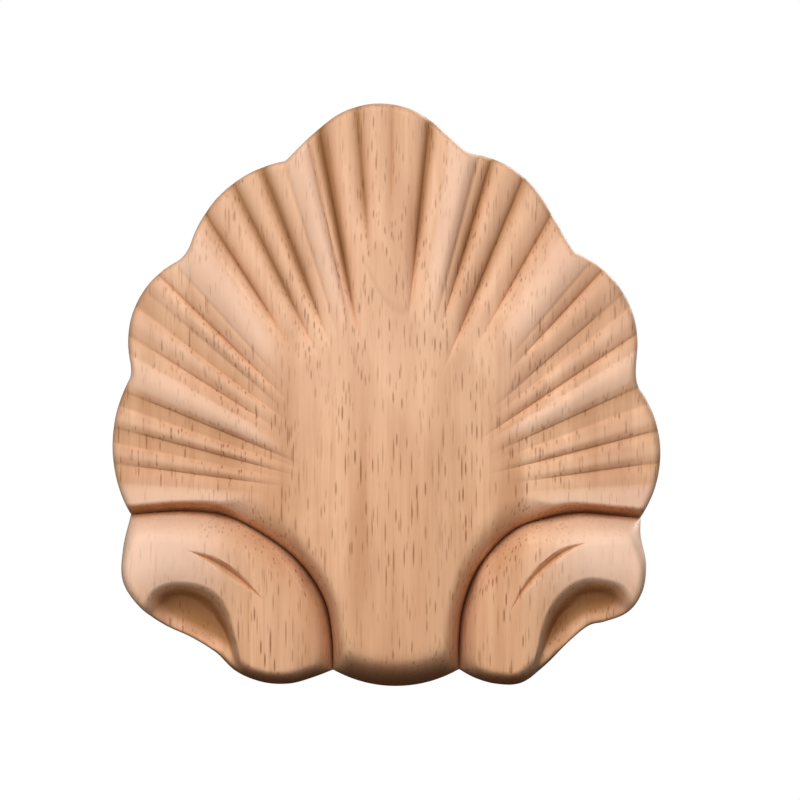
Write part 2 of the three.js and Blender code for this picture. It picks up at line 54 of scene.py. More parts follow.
# Flute lines: angle around the pole, share of the full depth, start on the way to the rim
LINES = np.array([
    (-90.5, 0.15, 0.4), (-86.5, 0.5, 0.4), (-82.6, 0.9, 0.37), (-80.4, 0.4, 0.37),
    (-78.3, 0.85, 0.35), (-75.4, 1.0, 0.33), (-73.3, 0.4, 0.33), (-70.8, 0.9, 0.31),
    (-67.9, 1.0, 0.31), (-63.8, 0.0, 0.35),
    (-60.6, 0.5, 0.4), (-57.8, 0.9, 0.4), (-54.7, 0.4, 0.39), (-52.6, 0.95, 0.39),
    (-49.5, 0.85, 0.41), (-47.5, 0.45, 0.42), (-45.8, 1.0, 0.42), (-42.5, 0.45, 0.43),
    (-39.0, 0.0, 0.45),
    (-35.4, 0.35, 0.47), (-32.9, 1.0, 0.47), (-29.6, 0.5, 0.45), (-26.4, 1.0, 0.42),
    (-23.7, 0.55, 0.42), (-21.1, 1.0, 0.41), (-17.6, 0.4, 0.41), (-14.6, 0.0, 0.41),
    (-12.6, 0.5, 0.39), (-10.8, 1.0, 0.37), (-7.6, 0.4, 0.43), (-4.8, 0.8, 0.5),
    (-2.1, 0.4, 0.53), (0.4, 0.65, 0.55), (3.2, 0.35, 0.5), (6.0, 1.0, 0.43),
    (9.0, 0.4, 0.43), (12.4, 0.0, 0.43),
    (14.6, 0.5, 0.43), (16.7, 1.0, 0.43), (19.4, 0.45, 0.41), (22.6, 1.0, 0.39),
    (26.2, 0.5, 0.45), (29.6, 0.95, 0.48), (33.0, 0.35, 0.48), (37.0, 0.0, 0.49),
    (40.3, 0.5, 0.49), (42.9, 1.0, 0.49), (45.0, 0.45, 0.45), (48.6, 0.95, 0.41),
    (51.3, 0.8, 0.4), (53.2, 0.4, 0.37), (56.2, 0.95, 0.35), (58.8, 0.45, 0.35),
    (61.2, 0.0, 0.35),
    (65.7, 1.0, 0.35), (69.6, 0.85, 0.35), (73.2, 0.4, 0.35), (75.6, 1.0, 0.35),
    (79.8, 0.4, 0.39), (82.2, 0.95, 0.41), (86.5, 0.5, 0.41), (90.8, 0.15, 0.41),
])
FLUTE_DEPTH = [(-90, 1.3), (-66, 1.4), (-62, 1.7), (-40, 2.1), (-36, 3.4), (12, 3.2),
               (32, 3.4), (40, 2.1), (60, 1.6), (66, 1.3)]
FLUTE_RUN_IN, FLUTE_FADE, FADE_FROM = 0.3, 0.35, 0.86
FLUTE_SHARPNESS = 0.3

# Painted shading: above 0 a brown painted shade in the cuts, below 0 a pale painted highlight on
# ridges
FLUTE_PAINTED_SHADE = [(-90, 1.0), (-42, 1.0), (-34, 1.35), (-12, 2.3), (8, 2.1), (22, 1.6),
               (31, 1.2), (42, 1.0), (90, 1.0)]
FLUTE_PAINTED_SHADE_POWER, RIDGE_PAINTED_HIGHLIGHT, WALL_PAINTED_SHADE = 1.4, -0.9, 0.6
CREASE_PAINTED_SHADE_WIDTH, NARROW_PAINTED_SHADE = 2.2, 0.4
NARROW_PAINTED_SHADE_X, FULL_PAINTED_SHADE_X = 22, 29
HOLLOW_PAINTED_SHADE, HOLLOW_PAINTED_SHADE_POWER = 2.0, 1.2
LIP_PAINTED_SHADE_FROM, LIP_PAINTED_SHADE_FULL = 0.1, 0.8

# Dome around the pole, and the smooth column down the middle
HUB_HEIGHT, HUB_FALL_POWER = 15.2, 1.7
DOME_REACH = [(0, 65), (35, 54), (60, 47), (95, 43), (140, 32), (180, 30.5)]
DOME_EDGE = [(0, 8.6), (45, 8.0), (93, 8.2), (112, 10.5), (145, 13.2), (180, 13.6)]
COLUMN_RISE, COLUMN_X, COLUMN_HALF_WIDTH, COLUMN_FLAT = 1.2, -2.3, 17.0, 0.45
COLUMN_TOP, COLUMN_FADE = 12.0, 22.0

# Roundings of the edges
RIM_ROUND, RIM_DROP, RIM_TURN = 1.3, 1.5, 95
FOOT_ROUND, FOOT_EDGE_HEIGHT = 5.6, 2.6
CREASE_ROUND = [(9, 2.6), (12.5, 3.2), (18, 5.0), (21, 4.8), (28, 2.2), (34, 1.8)]
CREASE_HEIGHT = [(9, 4.0), (12, 4.8), (17, 7.3), (21, 7.1), (29, 5.4), (36, 5.0)]
BEVEL_FROM, ROUND_FROM = 30, 20
CREASE_CORNER = 0.36

# Creases beside the scrolls, and the outer edge of each scroll
CREASES = {
    -1: [(-41.6, -19.5), (-37.2, -19.1), (-32.5, -18.9), (-26.1, -19.7), (-19.8, -22.8),
         (-14.2, -27.2), (-10.1, -33.5), (-8.9, -39.7), (-8.8, -44.8)],
    1: [(41.2, -20.0), (36.9, -19.6), (31.3, -19.2), (26.5, -19.9), (20.8, -21.8),
        (15.2, -27.5), (12.3, -34.7), (11.7, -39.9), (11.7, -44.7)],
}
EDGES = {
    -1: [(-41.6, -19.5), (-42.7, -24.9), (-42.7, -30.1), (-40.1, -34.2), (-36.2, -37.3),
         (-31.7, -39.4), (-27.9, -41.7), (-24.5, -44.9), (-20.3, -46.7), (-15.8, -47.0),
         (-11.7, -45.9), (-8.8, -44.8)],
    1: [(41.2, -20.0), (41.1, -22.7), (41.9, -27.5), (41.3, -31.8), (39.0, -35.2),
        (35.2, -36.9), (33.0, -37.4), (29.7, -39.9), (25.7, -43.9), (21.6, -46.9),
        (17.5, -47.0), (14.1, -46.0), (11.7, -44.7)],
}
SCROLL_POLES = {-1: (-30.4, -35.3), 1: (30.9, -35.0)}
LOWEST_TURN = -75

# Rim of the hollow of each scroll and the line of the cut along its roll, both carried on
# past the outer edge; the cut itself is between two distances from the middle of the shell
RIMS = {
    -1: [(-43.0, -38.5), (-40.4, -34.4), (-38.4, -31.6), (-35.6, -30.2), (-32.4, -30.0),
         (-29.4, -30.6), (-26.9, -32.2), (-25.2, -35.0), (-24.4, -38.2), (-23.7, -41.3),
         (-23.1, -44.6), (-22.6, -49.0)],
    1: [(44.5, -38.5), (41.3, -34.2), (38.6, -30.7), (35.6, -29.6), (32.6, -29.3),
        (29.8, -30.2), (27.2, -32.4), (25.4, -35.4), (24.5, -38.6), (23.9, -41.6),
        (23.1, -44.8), (22.4, -49.0)],
}
CUTS = {
    -1: [(-46.5, -27.8), (-41.0, -25.4), (-36.4, -24.7), (-32.3, -25.2), (-28.5, -26.6),
         (-25.0, -28.7), (-22.3, -30.9), (-20.0, -33.2), (-18.2, -36.6), (-17.3, -41.0),
         (-17.0, -46.0), (-17.0, -50.0)],
    1: [(46.5, -26.8), (41.0, -24.4), (36.2, -23.6), (31.6, -24.1), (28.3, -25.5),
        (24.8, -28.3), (22.2, -31.2), (20.1, -34.8), (19.0, -38.4), (18.6, -42.0),
        (18.4, -46.0), (18.4, -50.0)],
}
CUT_NEAR, CUT_FAR, CUT_HALF_WIDTH, CUT_DEPTH = 19.8, 32.2, 0.8, 1.3
ROLL_HEIGHT, ROLL_CREST, ROLL_INNER_FALL = 13.8, 4.5, 0.8
ROLL_OUTER_SPAN, ROLL_OUTER_FALL = 11.0, 3.4
HOLLOW_DEPTH, HOLLOW_WALL = 7.4, 3.6
HOLLOW_FAR_END, HOLLOW_FAR_FULL, HOLLOW_FAR_SHARE = 41.0, 34.5, 0.4
HOLLOW_LOW_END, HOLLOW_LOW_FULL, HOLLOW_LOW_SHARE = -44.5, -37.0, 0.5
LIP_HEIGHT, LIP_WIDTH = 1.8, 4.5
SCROLL_EDGE_HEIGHT = [(-75, 0.82), (-60, 0.6), (-50, 0.36), (-20, 0.35), (125, 0.6),
                      (150, 0.78), (172, 0.85), (285, 0.82)]
SCROLL_ROUND = [(-75, 1.2), (-55, 2.6), (-20, 2.8), (125, 2.2), (150, 1.6), (285, 1.2)]
SCROLL_CREASE_ROUND = [(-24, 3.4), (10, 3.8), (45, 4.6), (90, 6.0), (125, 4.6)]


def smooth_step(start, end, value):
    u = np.clip((value - start) / (end - start), 0, 1)
    return u * u * (3 - 2 * u)


def table_value(table, position):
    """Value read from a table of places and values, smooth between two places."""
    places, values = np.array(table, float).T
    position = np.clip(position, places[0], places[-1])
    k = np.clip(np.searchsorted(places, position) - 1, 0, len(places) - 2)
    share = smooth_step(places[k], places[k + 1], position)
    return values[k] + share * (values[k + 1] - values[k])


def quarter_round(distance, width):
    u = 1 - np.clip(distance / width, 0, 1)
    return np.sqrt(1 - u * u)


def rim_reach(angle):
    """Distance from the pole of the fan to the rim, with soft notches between the lobes."""
    reach = None
    for (centre, distance, radius), notch in zip(LOBES, [None] + NOTCHES):
        turn = np.radians(angle - centre)
        square = radius ** 2 - (distance * np.sin(turn)) ** 2
        lobe = distance * np.cos(turn) + np.sign(square) * np.sqrt(np.abs(square))
        if reach is None:
            reach = lobe
            continue
        lap = np.maximum(notch - np.abs(reach - lobe), 0) / notch
        reach = np.maximum(reach, lobe) + lap * lap * notch / 4
    return reach


CURVE_POINTS = 30


def smooth_line(knots, start, end, count):
    """Points at even steps along part of a smooth curve through the knots."""
    p = np.array(knots, float)
    p = np.vstack([2 * p[0] - p[1], p, 2 * p[-1] - p[-2]])
    dense = []
    for a, b, c, d in zip(p, p[1:], p[2:], p[3:]):
        ab, bc, cd = (np.linalg.norm(v) ** 0.5 for v in (b - a, c - b, d - c))
        leave = ((b - a) / ab - (c - a) / (ab + bc) + (c - b) / bc) * bc
        arrive = ((c - b) / bc - (d - b) / (bc + cd) + (d - c) / cd) * bc
        t = np.linspace(0, 1, CURVE_POINTS)[:, None]
        dense.append(b + leave * t + (3 * (c - b) - 2 * leave - arrive) * t ** 2
                     + (2 * (b - c) + leave + arrive) * t ** 3)
    dense = np.vstack(dense)
    length = np.append(0, np.cumsum(np.linalg.norm(np.diff(dense, axis=0), axis=1)))
    at = np.linspace(start, end, count + 1) * length[-1]
    return np.stack([np.interp(at, length, dense[:, i]) for i in (0, 1)], axis=1)


def distance_to(line, x, z):
    best = np.full(np.shape(x), 1e9)
    for (ax, az), (bx, bz) in zip(line, line[1:]):
        dx, dz = bx - ax, bz - az
        on = np.clip(((x - ax) * dx + (z - az) * dz) / max(dx * dx + dz * dz, 1e-12), 0, 1)
        best = np.minimum(best, np.hypot(x - ax - on * dx, z - az - on * dz))
    return best


CREASE_STEPS, CARVED_LINE_STEPS = 80, 160
crease_lines = {side: smooth_line(CREASES[side], 0, 1, CREASE_STEPS) for side in (-1, 1)}


def fan_height(x, z, depth, start):
    """Height and painted shading of the fan and the stem, with the flute's share of depth and its
    start.
    """
    angle = np.degrees(np.arctan2(x - FAN[0], z - FAN[1]))
    reach = np.hypot(x - FAN[0], z - FAN[1])
    turn = np.abs(angle)
    out = reach / table_value(DOME_REACH, turn)
    edge = table_value(DOME_EDGE, turn)
    height = edge + (HUB_HEIGHT - edge) * (1 - out ** HUB_FALL_POWER)
    column = 1 - smooth_step(COLUMN_FLAT, 1, np.abs(x - COLUMN_X) / COLUMN_HALF_WIDTH)
    height += COLUMN_RISE * column * (1 - smooth_step(COLUMN_TOP - COLUMN_FADE, COLUMN_TOP, z))
    run_in = smooth_step(start, start + FLUTE_RUN_IN, out)
    fade = 1 - FLUTE_FADE * smooth_step(FADE_FROM, 1, out)
    height -= table_value(FLUTE_DEPTH, angle) * depth * run_in * fade
    rim = RIM_DROP * (1 - quarter_round(rim_reach(angle) - reach, RIM_ROUND))
    height -= np.where(turn < RIM_TURN, rim, 0)
    foot_z = FOOT_BOTTOM + FOOT_RADIUS
    to_foot = FOOT_RADIUS - np.hypot(x - FOOT_X, z - foot_z)
    rounded = FOOT_EDGE_HEIGHT + (height - FOOT_EDGE_HEIGHT) * quarter_round(to_foot, FOOT_ROUND)
    height = np.where(z < foot_z, rounded, height)
    to_crease = np.where(angle < 0, distance_to(crease_lines[-1], x, z),
                         distance_to(crease_lines[1], x, z))
    side = np.abs(x)
    floor = np.minimum(table_value(CREASE_HEIGHT, side), height)
    away = np.minimum(to_crease / table_value(CREASE_ROUND, side), 1)
    rounded = smooth_step(BEVEL_FROM, ROUND_FROM, side)
    bevel = away * (3 - away * away) / 2
    round_over = bevel + (quarter_round(away, 1) - bevel) * rounded
    wide = smooth_step(NARROW_PAINTED_SHADE_X, FULL_PAINTED_SHADE_X, side)
    shade_width = CREASE_PAINTED_SHADE_WIDTH * (NARROW_PAINTED_SHADE + (1 - NARROW_PAINTED_SHADE) * wide)
    on_wall = smooth_step(shade_width, 0.5 * shade_width, to_crease)
    # Painted highlight on the ridges, painted shade in the flutes and on the wall of the crease
    painted_ridge_highlight = RIDGE_PAINTED_HIGHLIGHT * (1 - depth)
    painted_flute_shade = table_value(FLUTE_PAINTED_SHADE, angle) * depth ** FLUTE_PAINTED_SHADE_POWER
    painted_shading = run_in * (painted_flute_shade + painted_ridge_highlight)
    painted_shading += (WALL_PAINTED_SHADE - painted_shading) * on_wall
    return floor + (height - floor) * round_over, painted_shading


def around_scroll(x, z, side):
    """Direction and distance from the pole of a scroll: 0 is toward the stem, 90 upward."""
    across, up = (x - SCROLL_POLES[side][0]) * -side, z - SCROLL_POLES[side][1]
    turn = np.degrees(np.arctan2(up, across))
    return np.where(turn < LOWEST_TURN, turn + 360, turn), np.hypot(across, up)


def line_reach(knots, side, turn):
    """Distance from the pole of a scroll to a line on it, in each direction."""
    line = smooth_line(knots[side], 0, 1, CARVED_LINE_STEPS)
    line_turn, line_distance = around_scroll(*line.T, side)
    return np.interp(turn, line_turn[::-1], line_distance[::-1])


def scroll_height(x, z, side, edge_line, crease_line):
    """Height and painted shading of a scroll: its roll, then the hollow, the cut and the
    roundings.
    """
    turn, reach = around_scroll(x, z, side)
    to_edge = distance_to(edge_line, x, z)
    beyond_rim = reach - line_reach(RIMS, side, turn)

    from_crest = np.maximum(beyond_rim, 0) - ROLL_CREST
    inner_fall = ROLL_INNER_FALL * (from_crest / ROLL_CREST) ** 2
    outer_fall = ROLL_OUTER_FALL * (from_crest / ROLL_OUTER_SPAN) ** 2
    height = ROLL_HEIGHT - np.where(from_crest < 0, inner_fall, outer_fall)

    far = smooth_step(HOLLOW_FAR_END, HOLLOW_FAR_FULL, np.abs(x))
    low = smooth_step(HOLLOW_LOW_END, HOLLOW_LOW_FULL, z)
    depth = (HOLLOW_DEPTH * (HOLLOW_FAR_SHARE + (1 - HOLLOW_FAR_SHARE) * far)
             * (HOLLOW_LOW_SHARE + (1 - HOLLOW_LOW_SHARE) * low))
    lip = LIP_HEIGHT * smooth_step(LIP_WIDTH, 0, to_edge)
    in_hollow = smooth_step(0, HOLLOW_WALL, -beyond_rim)
    height -= (depth - lip) * in_hollow

    along = np.clip((np.abs(x) - CUT_NEAR) / (CUT_FAR - CUT_NEAR), 0, 1)
    taper = np.sin(along * np.pi)
    off = np.abs(reach - line_reach(CUTS, side, turn)) / np.maximum(CUT_HALF_WIDTH * taper, 1e-6)
    in_cut = taper * np.maximum(1 - off, 0)
    height -= CUT_DEPTH * in_cut

    left = table_value(SCROLL_EDGE_HEIGHT, turn)
    height *= left + (1 - left) * quarter_round(to_edge, table_value(SCROLL_ROUND, turn))
    floor = np.minimum(height, table_value(CREASE_HEIGHT, np.abs(x)))
    to_crease = distance_to(crease_line, x, z)
    crease_round = table_value(SCROLL_CREASE_ROUND, turn)
    height = floor + (height - floor) * quarter_round(to_crease, crease_round)
    # Painted shade in the hollow, in the cut and along the crease, less toward the lip
    beside_lip = smooth_step(LIP_PAINTED_SHADE_FROM, LIP_PAINTED_SHADE_FULL, to_edge / LIP_WIDTH)
    hollow_painted_shade = (HOLLOW_PAINTED_SHADE * in_hollow ** HOLLOW_PAINTED_SHADE_POWER * depth / HOLLOW_DEPTH
                    * beside_lip)
    crease_painted_shade = smooth_step(NARROW_PAINTED_SHADE * CREASE_PAINTED_SHADE_WIDTH, 0, to_crease)
    return height, in_cut + hollow_painted_shade + crease_painted_shade


# Columns and rings of the surface: a column is a line of points from a pole outward
COLUMN_STEP = 0.36
WAIST_TOP = 30.0
INNER_RINGS, OUTER_RINGS, EDGE_RINGS = 34, 62, 9
WALL_COLUMNS, STEM_COLUMNS, FOOT_COLUMNS = 14, 46, 40
SCROLL_COLUMNS, RINGS_BETWEEN = 110, 4
HOLLOW_RINGS = [1.0, 0.6, 0.25]
NARROWEST_RING = 1 / 30
ROUND_RINGS, WIDEST_ROUND = [1.0, 0.45, 0.12], 0.7
WAIST_TURN, WAIST_LOW_TURN = 20, 88
EDGE_CROWDING, HALVINGS = 1.7, 24
edge_shares = (1 - np.arange(1, EDGE_RINGS + 1) / EDGE_RINGS) ** EDGE_CROWDING


def steep_rise(u):
    """Rise that is steep at first and level at the end."""
    soft = np.sin(u * np.pi / 2)
    return soft + FLUTE_SHARPNESS * (quarter_round(u, 1) - soft)


def flute_columns():
    angles, depths, starts = [], [], []
    for (a, depth_a, start_a), (b, depth_b, start_b) in zip(LINES, LINES[1:]):
        u = np.arange(0, 1, 1 / math.ceil((b - a) / COLUMN_STEP))
        share = steep_rise(u) if depth_a > depth_b else 1 - steep_rise(1 - u)
        angles.append(a + u * (b - a))
        depths.append(depth_a + share * (depth_b - depth_a))
        starts.append(start_a + u * (start_b - start_a))
    ends = [[value] for value in LINES[-1]]
    return [np.concatenate(part + [end]) for part, end in zip((angles, depths, starts), ends)]


def pole_columns(ends, body_rings, edge_reach):
    """Straight columns from the pole of the fan: body rings, then rings over an edge."""
    whole = np.hypot(*(ends - FAN).T)
    edge_rings = [edge_reach(share, whole) for share in (1.0, *edge_shares)]
    body = edge_rings[0] * np.linspace(0, 1, body_rings + 1)[:, None]
    reach = np.concatenate([body, np.stack(edge_rings[1:])])
    return FAN + (reach / whole)[..., None] * (ends - FAN)


def stem_columns(ends, side):
    """Columns down to a crease: the edge rings keep even distances from it."""
    width = table_value(CREASE_ROUND, np.abs(ends[:, 0]))

    def beside(share, whole):
        near, far = whole * 0, whole * 1
        for _ in range(HALVINGS):
            middle = (near + far) / 2
            points = FAN + (middle / whole)[:, None] * (ends - FAN)
            outside = distance_to(crease_lines[side], *points.T) > share * width
            near, far = np.where(outside, middle, near), np.where(outside, far, middle)
        return far

    return pole_columns(ends, INNER_RINGS - EDGE_RINGS, beside)


def foot_columns(ends):
    return pole_columns(ends, INNER_RINGS - EDGE_RINGS,
                        lambda share, whole: whole - share * FOOT_ROUND)


corners = {side: smooth_line(CREASES[side], CREASE_CORNER, CREASE_CORNER, 1)[0]
           for side in (-1, 1)}
corner_reach = {side: np.hypot(*(corners[side] - FAN)) for side in (-1, 1)}

angles, depths, starts = flute_columns()
low = np.where(angles < 0, corner_reach[-1], corner_reach[1])
waist = WAIST_TOP + (low - WAIST_TOP) * smooth_step(WAIST_TURN, WAIST_LOW_TURN, np.abs(angles))
whole = rim_reach(angles)
reach = np.concatenate([
    waist * np.linspace(0, 1, INNER_RINGS + 1)[:, None],
    waist + (whole - RIM_ROUND - waist) * np.linspace(0, 1, OUTER_RINGS + 1)[1:, None],
    whole - edge_shares[:, None] * RIM_ROUND,
])
turns = np.radians(angles)
fan_points = np.stack([FAN[0] + reach * np.sin(turns), FAN[1] + reach * np.cos(turns)], axis=2)


def crease_column(side):
    """The last column: straight from the pole to the crease, then outward along it."""
    inner = stem_columns(corners[side][None], side)[:, 0]
    outer = smooth_line(CREASES[side], CREASE_CORNER, 0, OUTER_RINGS + EDGE_RINGS)[1:]
    return np.vstack([inner, outer])


def wall_columns(flute, end):
    """Columns from the last flute to the crease, closer together toward the crease."""
    shares = smooth_step(-1, 1, np.linspace(0, 1, WALL_COLUMNS + 1))[1:] * 2 - 1
    return flute[:, None] + (end[:, None] - flute[:, None]) * shares[:, None]


left_wall = wall_columns(fan_points[:, 0], crease_column(-1))[:, ::-1]
right_wall = wall_columns(fan_points[:, -1], crease_column(1))
fan_points = np.concatenate([left_wall, fan_points, right_wall], axis=1)
fade_out = np.linspace(1, 0, WALL_COLUMNS + 1)[1:]
depths = np.concatenate([depths[0] * fade_out[::-1], depths, depths[-1] * fade_out])
starts = np.pad(starts, WALL_COLUMNS, mode="edge")
fan_heights, fan_painted_shading = fan_height(fan_points[..., 0], fan_points[..., 1], depths, starts)

stem_ends = {side: smooth_line(CREASES[side], CREASE_CORNER, 1, STEM_COLUMNS)
             for side in (-1, 1)}
foot_x = np.linspace(stem_ends[1][-1][0], stem_ends[-1][-1][0], FOOT_COLUMNS + 2)[1:-1]
foot_z = FOOT_BOTTOM + FOOT_RADIUS - np.sqrt(FOOT_RADIUS ** 2 - (foot_x - FOOT_X) ** 2)
foot_ends = np.stack([foot_x, foot_z], axis=1)
lower_points = np.concatenate([
    stem_columns(stem_ends[1], 1), foot_columns(foot_ends),
    stem_columns(stem_ends[-1][::-1], -1)], axis=1)
lower_points[:, 0] = fan_points[:INNER_RINGS + 1, -1]
lower_points[:, -1] = fan_points[:INNER_RINGS + 1, 0]
lower_heights, lower_painted_shading = fan_height(lower_points[..., 0], lower_points[..., 1], 0.0, 1.0)


def surface_points(points, heights):
    return np.stack([points[..., 0], -heights, points[..., 1]], axis=-1)


fan_surface = surface_points(fan_points, fan_heights)
lower_surface = surface_points(lower_points, lower_heights)

creases_3d = {
    1: np.vstack([fan_surface[INNER_RINGS:, -1][::-1], lower_surface[-1, 1:STEM_COLUMNS + 1]]),
    -1: np.vstack([fan_surface[INNER_RINGS:, 0][::-1],
                   lower_surface[-1, -STEM_COLUMNS - 1:-1][::-1]]),
}


def scroll_rings(turn, whole, side):
    """Distances from the pole to the rings: the wall of the hollow, its rim, both sides of
    the cut, and the rounding; the rings close up where the outer edge comes first."""
    rim, cut = line_reach(RIMS, side, turn), line_reach(CUTS, side, turn)
    wall = [rim - share * HOLLOW_WALL for share in HOLLOW_RINGS]
    beyond = cut + CUT_HALF_WIDTH
    width = np.minimum(table_value(SCROLL_CREASE_ROUND, turn), WIDEST_ROUND * (whole - beyond))
    rounding = [whole - share * width for share in ROUND_RINGS]
    stations = [wall[0] * 0, wall[0] / 2, *wall, rim, (rim + cut - CUT_HALF_WIDTH) / 2,
                cut - CUT_HALF_WIDTH, cut, beyond, (beyond + rounding[0]) / 2, *rounding, whole]
    last = len(stations) - 1
    stations = [np.minimum(reach, whole * (1 - (last - k) * NARROWEST_RING))
                for k, reach in enumerate(stations)]
    stations[0] = whole * 0
    shares = np.arange(RINGS_BETWEEN)[:, None] / RINGS_BETWEEN
    between = [a + (b - a) * shares for a, b in zip(stations, stations[1:])]
    return np.concatenate([*between, stations[-1][None]])


def scroll_surface(side):
    crease = creases_3d[side]
    edge_line = smooth_line(EDGES[side], 0, 1, SCROLL_COLUMNS)
    free = edge_line[1:-1]
    ends = np.vstack([free, crease[::-1][:, [0, 2]], free[:1]])
    turn, whole = around_scroll(*ends.T, side)
    shares = scroll_rings(turn, whole, side) / whole
    pole = np.array(SCROLL_POLES[side])
    points = pole + shares[..., None] * (ends - pole)
    heights, painted_shadings = scroll_height(points[..., 0], points[..., 1], side, edge_line,
                                    crease[:, [0, 2]])
    surface = surface_points(points, heights)
    surface[-1, len(free):-1] = crease[::-1]
    return (surface, painted_shadings) if side > 0 else (surface[:, ::-1], painted_shadings[:, ::-1])


MM_PER_METRE = 1000


def sheet_from(surface, painted_shadings, name):
    """A flat grid, bent to the carved surface: its rows are the rings, from the pole out.
    Its points carry the painted shading of the wood: painted shade in cuts, painted highlights on
    ridges."""
    bpy.ops.object.select_all(action="DESELECT")
    rows, columns = surface.shape[:2]
    bpy.ops.mesh.primitive_grid_add(x_subdivisions=columns - 1, y_subdivisions=rows - 1, size=0.1)
    sheet = bpy.context.object
    sheet.name = name
    sheet.data.vertices.foreach_set("co", (surface / MM_PER_METRE).ravel())
    painted_shading = sheet.data.attributes.new("painted_shading", "FLOAT", "POINT")
    painted_shading.data.foreach_set("value", np.ascontiguousarray(painted_shadings, np.float32).ravel())
    return sheet


sheets = [
    sheet_from(fan_surface, fan_painted_shading, "carved_shell"),
    sheet_from(lower_surface, lower_painted_shading, "stem"),
    sheet_from(*scroll_surface(1), "right_scroll"),
    sheet_from(*scroll_surface(-1), "left_scroll"),
]
for sheet in sheets:
    sheet.select_set(True)
bpy.context.view_layer.objects.active = sheets[0]
bpy.ops.object.join()
shell = bpy.context.object

# The sheets are joined, the edge is drawn back to the plane of the panel, and the back closed
SEAM_GAP, SHARP_ANGLE = 2e-6, math.radians(55)
bpy.ops.object.mode_set(mode="EDIT")
bpy.ops.mesh.select_all(action="SELECT")
bpy.ops.mesh.remove_doubles(threshold=SEAM_GAP)
bpy.ops.mesh.select_all(action="DESELECT")
bpy.ops.mesh.select_mode(type="EDGE")
bpy.ops.mesh.select_non_manifold(extend=False)
bpy.ops.mesh.extrude_region_move()
bpy.ops.transform.resize(value=(1, 0, 1), center_override=(0, 0, 0))
bpy.ops.mesh.edge_face_add()
bpy.ops.mesh.select_all(action="SELECT")
bpy.ops.mesh.normals_make_consistent(inside=False)
bpy.ops.object.mode_set(mode="OBJECT")
bpy.ops.object.shade_smooth_by_angle(angle=SHARP_ANGLE)


# Shader maths: a socket that can be added, subtracted, multiplied and so on like a number
class Wire:
    def __init__(self, tree, socket):
        self.tree, self.socket = tree, socket

    def node(self, kind, settings=None, inputs=None, output=0):
        made = self.tree.nodes.new(kind)
        for key, value in (settings or {}).items():
            setattr(made, key, value)
        for key, value in (inputs or {}).items():
            if isinstance(value, Wire):
                self.tree.links.new(value.socket, made.inputs[key])
            else:
                made.inputs[key].default_value = value
        return Wire(self.tree, made.outputs[output])

    def other_output(self, name):
        return Wire(self.tree, self.socket.node.outputs[name])

    def maths(self, operation, *values):
        return self.node("ShaderNodeMath", {"operation": operation}, dict(enumerate(values)))

    def __add__(self, other):
        return self.maths("ADD", self, other)

    __radd__ = __add__

    def __sub__(self, other):
        return self.maths("SUBTRACT", self, other)

    def __rsub__(self, other):
        return self.maths("SUBTRACT", other, self)

    def __mul__(self, other):
        return self.maths("MULTIPLY", self, other)

    __rmul__ = __mul__

    def between(self, low, high):
        """0 below low, 1 above high, smooth in between; the other way round if low is larger."""
        return self.node("ShaderNodeMapRange", {"interpolation_type": "SMOOTHSTEP"},
                         {"Value": self, "From Min": low, "From Max": high})


def blend_colours(factor, first, second):
    return factor.node("ShaderNodeMix", {"data_type": "RGBA"}, {0: factor, 6: first, 7: second}, 2)


# Bare sanded hardwood, flesh pink to tan, with the grain upright: soft growth bands, fine
# fibres, brown pores a few millimetres long, and darker end grain where the cut crosses it
WOOD_PALE = (0.82, 0.49, 0.295, 1)
WOOD_TAN = (0.62, 0.33, 0.18, 1)
WOOD_BAND = (0.50, 0.23, 0.115, 1)
WOOD_PINK = (0.74, 0.40, 0.27, 1)
PALE_PINK_AND_PAINTED_HIGHLIGHT = (0.88, 0.60, 0.45, 1)
PORE = (0.25, 0.085, 0.028, 1)
END_GRAIN = (0.50, 0.26, 0.135, 1)
CUT_PAINTED_SHADE = (0.30, 0.13, 0.035, 1)
DARK_PAINTED_SHADE = (0.16, 0.052, 0.014, 1)

wood = bpy.data.materials.new("bare hardwood")
wood.use_nodes = True
surface_node = wood.node_tree.nodes["Principled BSDF"]
place = Wire(wood.node_tree, None).node("ShaderNodeTexCoord", output="Object")


def stretched(x, y, z, shift=0.0):
    """Object coordinates in steps of x, y and z millimetres."""
    return place.node("ShaderNodeMapping", {"vector_type": "POINT"},
                      {"Vector": place, "Location": (shift, shift, shift),
                       "Scale": (MM_PER_METRE / x, MM_PER_METRE / y, MM_PER_METRE / z)})


def noise(vector, detail=2.0, roughness=0.5):
    return place.node("ShaderNodeTexNoise", None,
                      {"Vector": vector, "Scale": 1.0, "Detail": detail, "Roughness": roughness})


# Growth bands: nearly flat layers of the board, so that the carving cuts arches through them.
# Their number in a metre is given from front to back, across and upward.
BANDS_DEEP, BANDS_ACROSS, BANDS_UP, BAND_DRIFT = 260, 34, 5, 3.4
drift = noise(stretched(26, 18, 90), 2.0)
axis_x = place.node("ShaderNodeSeparateXYZ", None, {"Vector": place})
axis_y, axis_z = axis_x.other_output("Y"), axis_x.other_output("Z")
layer = axis_y * BANDS_DEEP + axis_x * BANDS_ACROSS + axis_z * BANDS_UP + drift * BAND_DRIFT
band_wave = layer.maths("FRACT", layer)
band = band_wave.between(0.0, 0.75) * (1 - band_wave.between(0.86, 1.0))
tone = noise(stretched(5, 9, 55, 3.0), 3.0)
blush = noise(stretched(8, 8, 22, 17.0), 2.0)
streak = noise(stretched(0.7, 3, 26, 7.0), 2.0, 0.6)
fibre = noise(stretched(0.30, 1.5, 11, 1.0), 3.0, 0.6)

colour = blend_colours(tone.between(0.30, 0.70), WOOD_PALE, WOOD_TAN)
colour = blend_colours(blush.between(0.52, 0.80) * 0.35, colour, WOOD_PINK)
colour = blend_colours(band * 0.22, colour, WOOD_BAND)
colour = blend_colours(streak.between(0.46, 0.72) * 0.26, colour, WOOD_BAND)
colour = blend_colours(fibre.between(0.42, 0.74) * 0.18, colour, WOOD_BAND)
